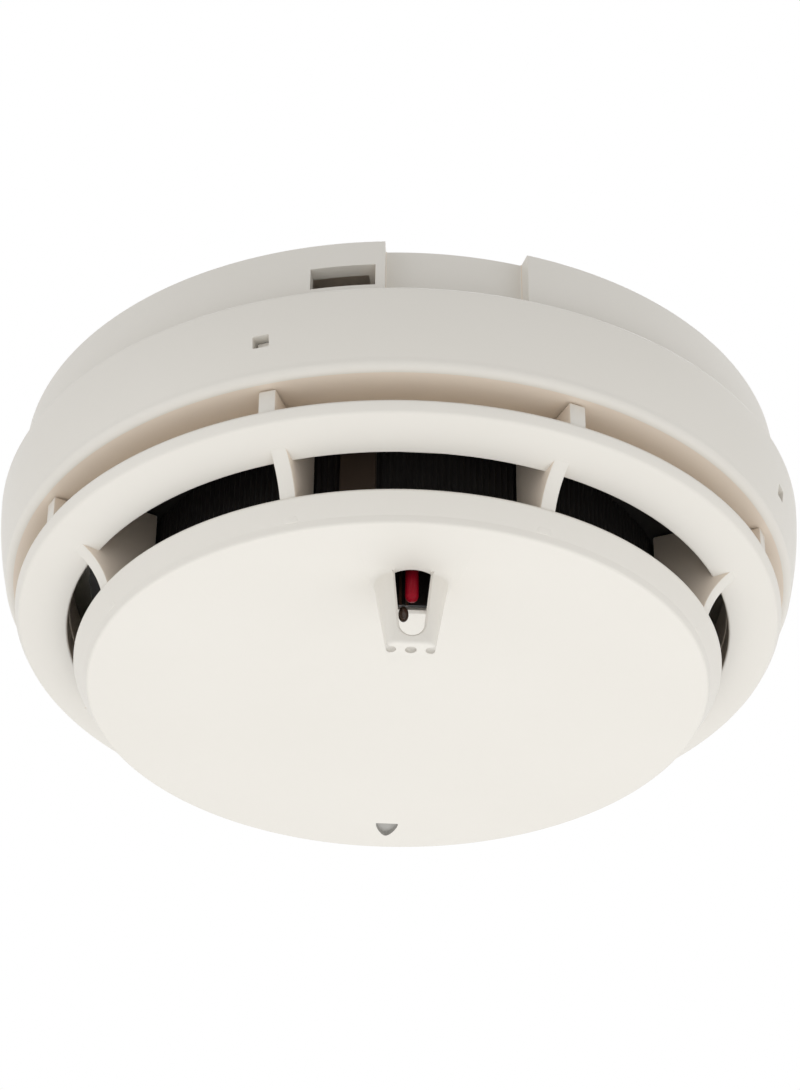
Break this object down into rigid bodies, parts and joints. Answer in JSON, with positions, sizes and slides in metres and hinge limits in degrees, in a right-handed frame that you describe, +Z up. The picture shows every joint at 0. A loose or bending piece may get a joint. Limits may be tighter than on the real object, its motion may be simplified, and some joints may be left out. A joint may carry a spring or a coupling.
{
  "type": "heat detector",
  "caption": "Round ceiling heat detector: a twist-off head with a vented ring, a flat face and an offset sensor cage, on a shallow mounting base.",
  "frame": {"origin": "centre of the base's flat back, on the ceiling", "axes": "+Z up into the ceiling; the detector hangs below, with its sensor cage towards -Y"},
  "size_m": [0.1172, 0.1172, 0.0487],
  "materials": {
    "white_plastic": "warm white moulded plastic, fine matt grain",
    "base_plastic": "warm white moulded plastic, fine matt grain",
    "black_plastic": "black moulded plastic",
    "spring_bronze": "bright spring bronze sheet",
    "plated_steel": "zinc-plated steel",
    "board_green": "green solder resist on glass-fibre board",
    "red_guide": "clear red light guide",
    "led_lens": "clear lens resin",
    "bead_resin": "dark brown dipped resin"
  },
  "bodies": {
    "base": {"mounting_base": "base_plastic", "contact_spring_1": "spring_bronze", "terminal_clamp_1": "plated_steel", "terminal_screw_1": "plated_steel", "contact_spring_2": "spring_bronze", "terminal_clamp_2": "plated_steel", "terminal_screw_2": "plated_steel", "contact_spring_3": "spring_bronze", "terminal_clamp_3": "plated_steel", "terminal_screw_3": "plated_steel", "contact_spring_4": "spring_bronze", "terminal_clamp_4": "plated_steel", "terminal_screw_4": "plated_steel"},
    "head": {"rear_chassis": "white_plastic", "outer_housing": "white_plastic", "lower_cover": "white_plastic", "inner_carrier": "black_plastic", "insect_screen": "black_plastic", "sensor_stalk": "black_plastic", "circuit_board": "board_green", "microcontroller": "black_plastic", "supply_capacitor": "plated_steel", "indicator_led": "led_lens", "light_guide": "red_guide", "thermistor_bead": "bead_resin", "thermistor_lead_1": "plated_steel", "thermistor_lead_2": "plated_steel", "board_screw_1": "plated_steel", "board_screw_2": "plated_steel", "board_screw_3": "plated_steel", "contact_blade_1": "spring_bronze", "contact_blade_2": "spring_bronze", "contact_blade_3": "spring_bronze", "contact_blade_4": "spring_bronze"}
  },
  "joints": [
    {"name": "head_twist", "type": "hinge", "parent": "base", "child": "head", "pos_m": [0, 0, -0.0105], "axis": [0, 0, -1], "range_deg": [0, 18]}
  ]
}
